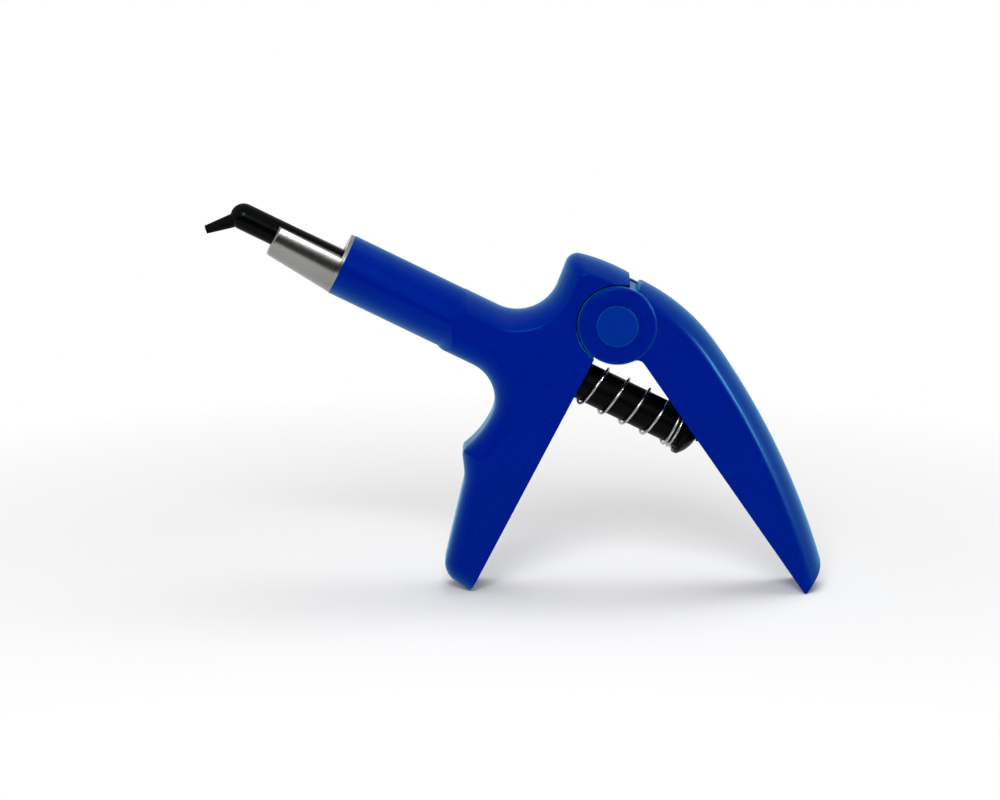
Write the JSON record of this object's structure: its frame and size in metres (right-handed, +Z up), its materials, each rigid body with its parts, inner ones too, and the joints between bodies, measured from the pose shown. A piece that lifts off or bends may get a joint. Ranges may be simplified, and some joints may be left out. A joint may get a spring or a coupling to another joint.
{
  "type": "capsule dispensing gun",
  "caption": "Hand-squeezed dispensing gun that pushes the piston of a small bent-nozzle capsule held in a metal nose.",
  "frame": {"origin": "middle of the overall length and width, on the surface that the two handle tips stand on", "axes": "+X from the nozzle towards the rear lever, +Y across the tool, +Z up"},
  "size_m": [0.1492, 0.019, 0.0947],
  "materials": {
    "body_plastic": "satin moulded, deep blue",
    "cap_plastic": "fine grain, deep blue",
    "nose_metal": "satin turned",
    "capsule_plastic": "glossy black",
    "piston_plastic": "plain",
    "plunger_plastic": "satin black",
    "bearing_plastic": "plain",
    "spring_wire": "bright drawn wire",
    "steel": "ground",
    "ring_rubber": "matte"
  },
  "bodies": {
    "frame": {"front_body": "body_plastic", "capsule_nose": "nose_metal", "plunger_bush": "bearing_plastic", "spring_washer": "steel", "rod_guide": "bearing_plastic", "nose_o_ring": "ring_rubber", "hinge_bush": "bearing_plastic", "hinge_washer_left": "bearing_plastic", "hinge_washer_right": "bearing_plastic", "return_spring": "spring_wire"},
    "lever": {"rear_lever": "body_plastic", "hinge_axle": "steel", "hinge_cap_left": "cap_plastic", "hinge_cap_right": "cap_plastic"},
    "plunger": {"plunger": "plunger_plastic", "retaining_ring": "steel", "push_rod": "steel", "rod_dowel": "steel"},
    "capsule": {"capsule_body": "capsule_plastic"},
    "piston": {"capsule_piston": "piston_plastic"}
  },
  "joints": [
    {"name": "lever_squeeze", "type": "hinge", "parent": "frame", "child": "lever", "pos_m": [0.02454, 0, 0.0663], "axis": [0, 1, 0], "range_deg": [0, 58], "stiffness_Nm_per_rad": 0.115, "springref_deg": -34.38},
    {"name": "plunger_slide", "type": "slide", "parent": "frame", "child": "plunger", "axis": [-0.8973, 0, 0.4415], "range_m": [0, 0.0173], "deforming": ["return_spring"]},
    {"name": "capsule_swivel", "type": "hinge", "parent": "frame", "child": "capsule", "pos_m": [-0.05475, 0, 0.08637], "axis": [0.8973, 0, -0.4415], "continuous": true},
    {"name": "piston_push", "type": "slide", "parent": "capsule", "child": "piston", "axis": [-0.8973, 0, 0.4415], "range_m": [0, 0.0173]}
  ],
  "couplings": [
    {"joint": "plunger_slide", "follows": "lever_squeeze", "m_per_rad": 0.017},
    {"joint": "piston_push", "follows": "lever_squeeze", "m_per_rad": 0.017}
  ]
}
